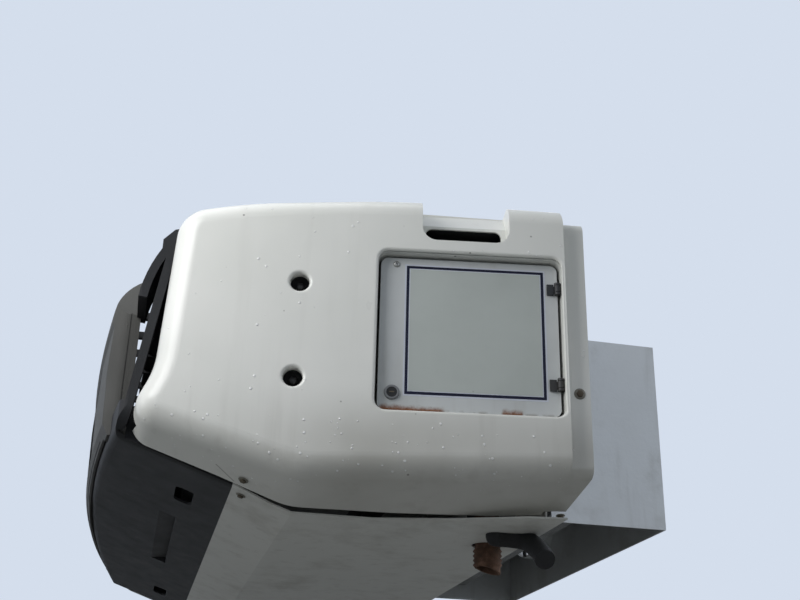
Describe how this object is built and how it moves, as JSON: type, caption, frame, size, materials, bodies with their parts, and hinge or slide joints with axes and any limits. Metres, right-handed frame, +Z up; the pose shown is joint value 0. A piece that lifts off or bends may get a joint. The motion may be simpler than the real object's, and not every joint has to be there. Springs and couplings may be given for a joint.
{
  "type": "truck refrigeration unit",
  "caption": "Front-wall truck refrigeration unit: white moulded side covers, black grille and shield, control door, condenser fans and an evaporator section behind the wall.",
  "frame": {"origin": "middle of the wall bolts on the face that rests on the box body's front wall", "axes": "+Y into the box body, -Y to the unit's front, +X to the vehicle's left side with the control door, +Z up"},
  "size_m": [1.925, 1.1859, 0.6001],
  "materials": {
    "white_moulding": "gloss moulded white",
    "black_plastic": "grained black",
    "frame_steel": "grey coated steel",
    "white_panel": "satin insulated panel",
    "grey_sheet": "pale grey coated sheet",
    "fin_aluminium": "fine finned",
    "black_metal": "black paint",
    "cast_grey": "cast",
    "rusty_steel": "rusted",
    "dark_moulding": "dark moulded",
    "door_grey": "pale grey paint",
    "seal_rubber": "rubber",
    "bright_steel": "worn bright steel"
  },
  "bodies": {
    "unit": {"left_cover": "white_moulding", "right_cover": "white_moulding", "top_cover": "white_moulding", "outlet_grilles": "black_plastic", "grille_frame": "black_plastic", "front_shield": "black_plastic", "mounting_frame": "frame_steel", "bulkhead": "white_panel", "base_frame": "frame_steel", "belly_pan": "grey_sheet", "condenser_coil": "fin_aluminium", "radiator": "black_metal", "fan_shroud": "frame_steel", "fan_motors": "black_metal", "engine_block": "black_metal", "compressor": "cast_grey", "standby_motor": "cast_grey", "muffler": "rusty_steel", "receiver_tank": "black_metal", "exhaust_pipe": "rusty_steel", "control_box": "grey_sheet", "control_gear": "dark_moulding", "door_hinges": "black_metal", "evaporator_housing": "fin_aluminium", "evaporator_coil": "fin_aluminium", "evaporator_motors": "black_metal"},
    "control_door": {"control_door": "door_grey", "door_seal": "seal_rubber", "door_lock": "bright_steel", "hinge_leaves": "black_metal"},
    "condenser_fan_left": {"condenser_fan_left": "black_plastic"},
    "condenser_fan_right": {"condenser_fan_right": "black_plastic"},
    "evaporator_fan_left": {"evaporator_fan_left": "black_plastic"},
    "evaporator_fan_right": {"evaporator_fan_right": "black_plastic"}
  },
  "joints": [
    {"name": "control_door_hinge", "type": "hinge", "parent": "unit", "child": "control_door", "pos_m": [0.94592, -0.05486, 0.004], "axis": [0, 0, 1], "range_deg": [0, 100]},
    {"name": "condenser_fan_left_spin", "type": "hinge", "parent": "unit", "child": "condenser_fan_left", "pos_m": [0.33, -0.621, 0.001], "axis": [0, 1, 0], "continuous": true},
    {"name": "condenser_fan_right_spin", "type": "hinge", "parent": "unit", "child": "condenser_fan_right", "pos_m": [-0.33, -0.621, 0.001], "axis": [0, 1, 0], "continuous": true},
    {"name": "evaporator_fan_left_spin", "type": "hinge", "parent": "unit", "child": "evaporator_fan_left", "pos_m": [0.24, 0.313, 0.005], "axis": [0, 1, 0], "continuous": true},
    {"name": "evaporator_fan_right_spin", "type": "hinge", "parent": "unit", "child": "evaporator_fan_right", "pos_m": [-0.24, 0.313, 0.005], "axis": [0, 1, 0], "continuous": true}
  ]
}
